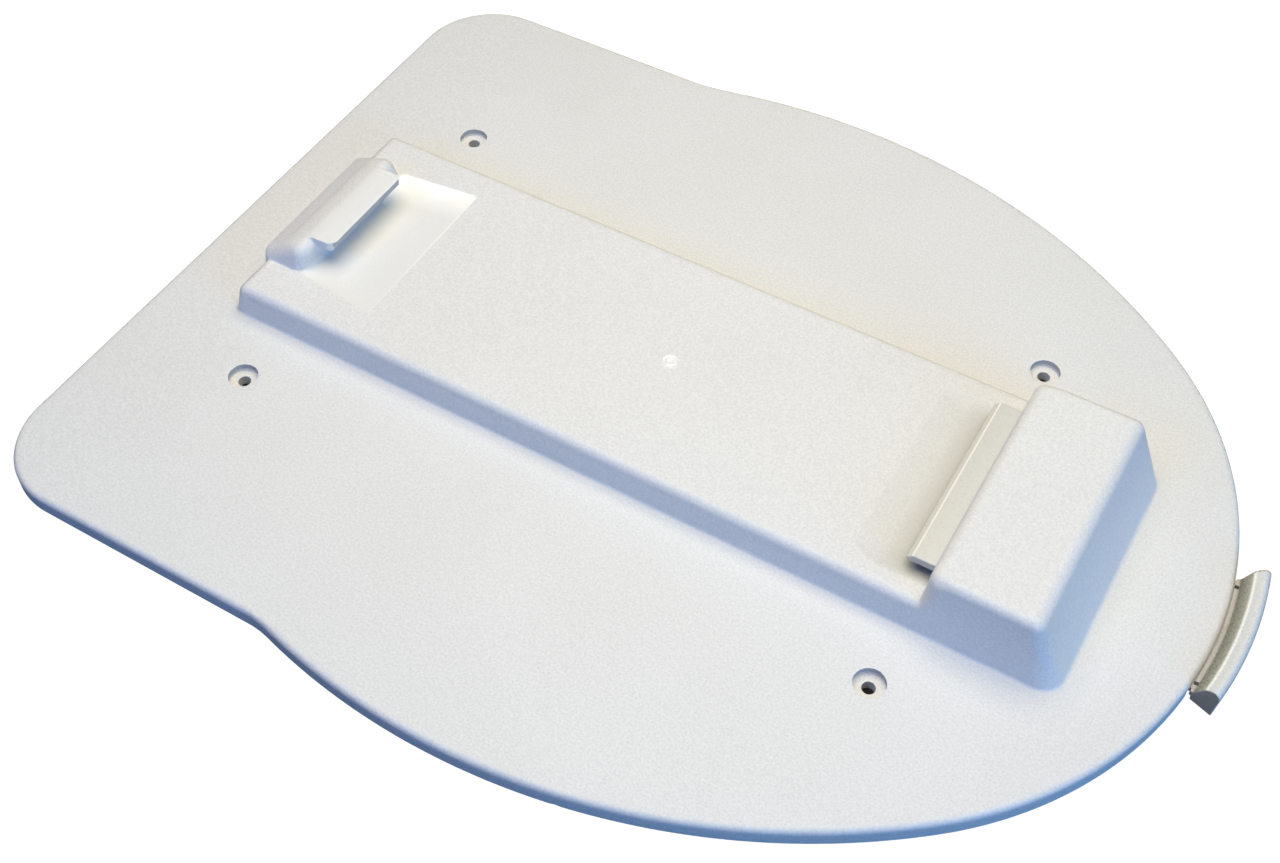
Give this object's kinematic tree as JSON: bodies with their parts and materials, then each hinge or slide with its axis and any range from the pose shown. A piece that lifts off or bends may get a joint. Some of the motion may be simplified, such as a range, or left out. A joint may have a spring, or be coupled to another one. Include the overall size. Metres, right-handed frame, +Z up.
{
  "type": "toilet floor plate",
  "caption": "D-shaped moulded hold-down floor plate with counterbored screw holes, a raised plinth, a fixed hook and a sprung latch tongue with a pull handle.",
  "frame": {"origin": "centre of the four floor-screw holes, on the underside of the plate", "axes": "+X towards the pull handle at the front, +Y across the plate, +Z up out of the floor"},
  "size_m": [0.4541, 0.3632, 0.0382],
  "materials": {
    "plate_plastic": "fine spark-eroded grain, off-white",
    "handle_plastic": "smooth satin, warm off-white",
    "bolt_plastic": "smooth satin, warm off-white",
    "cover_plastic": "plain moulded, off-white",
    "screw_steel": "bright zinc",
    "spring_steel": "drawn stainless wire"
  },
  "bodies": {
    "plate": {"base_moulding": "plate_plastic", "return_spring_left": "spring_steel", "return_spring_right": "spring_steel", "block_cover": "cover_plastic", "cover_screws": "screw_steel", "strap_keeper": "cover_plastic", "keeper_screws": "screw_steel"},
    "latch": {"pull_handle": "handle_plastic", "latch_bolt": "bolt_plastic", "bolt_screws": "screw_steel"}
  },
  "joints": [
    {"name": "latch_slide", "type": "slide", "parent": "plate", "child": "latch", "axis": [1, 0, 0], "range_m": [0, 0.011], "stiffness_N_per_m": 2100, "springref_m": -0.005, "deforming": ["return_spring_left", "return_spring_right"]}
  ]
}
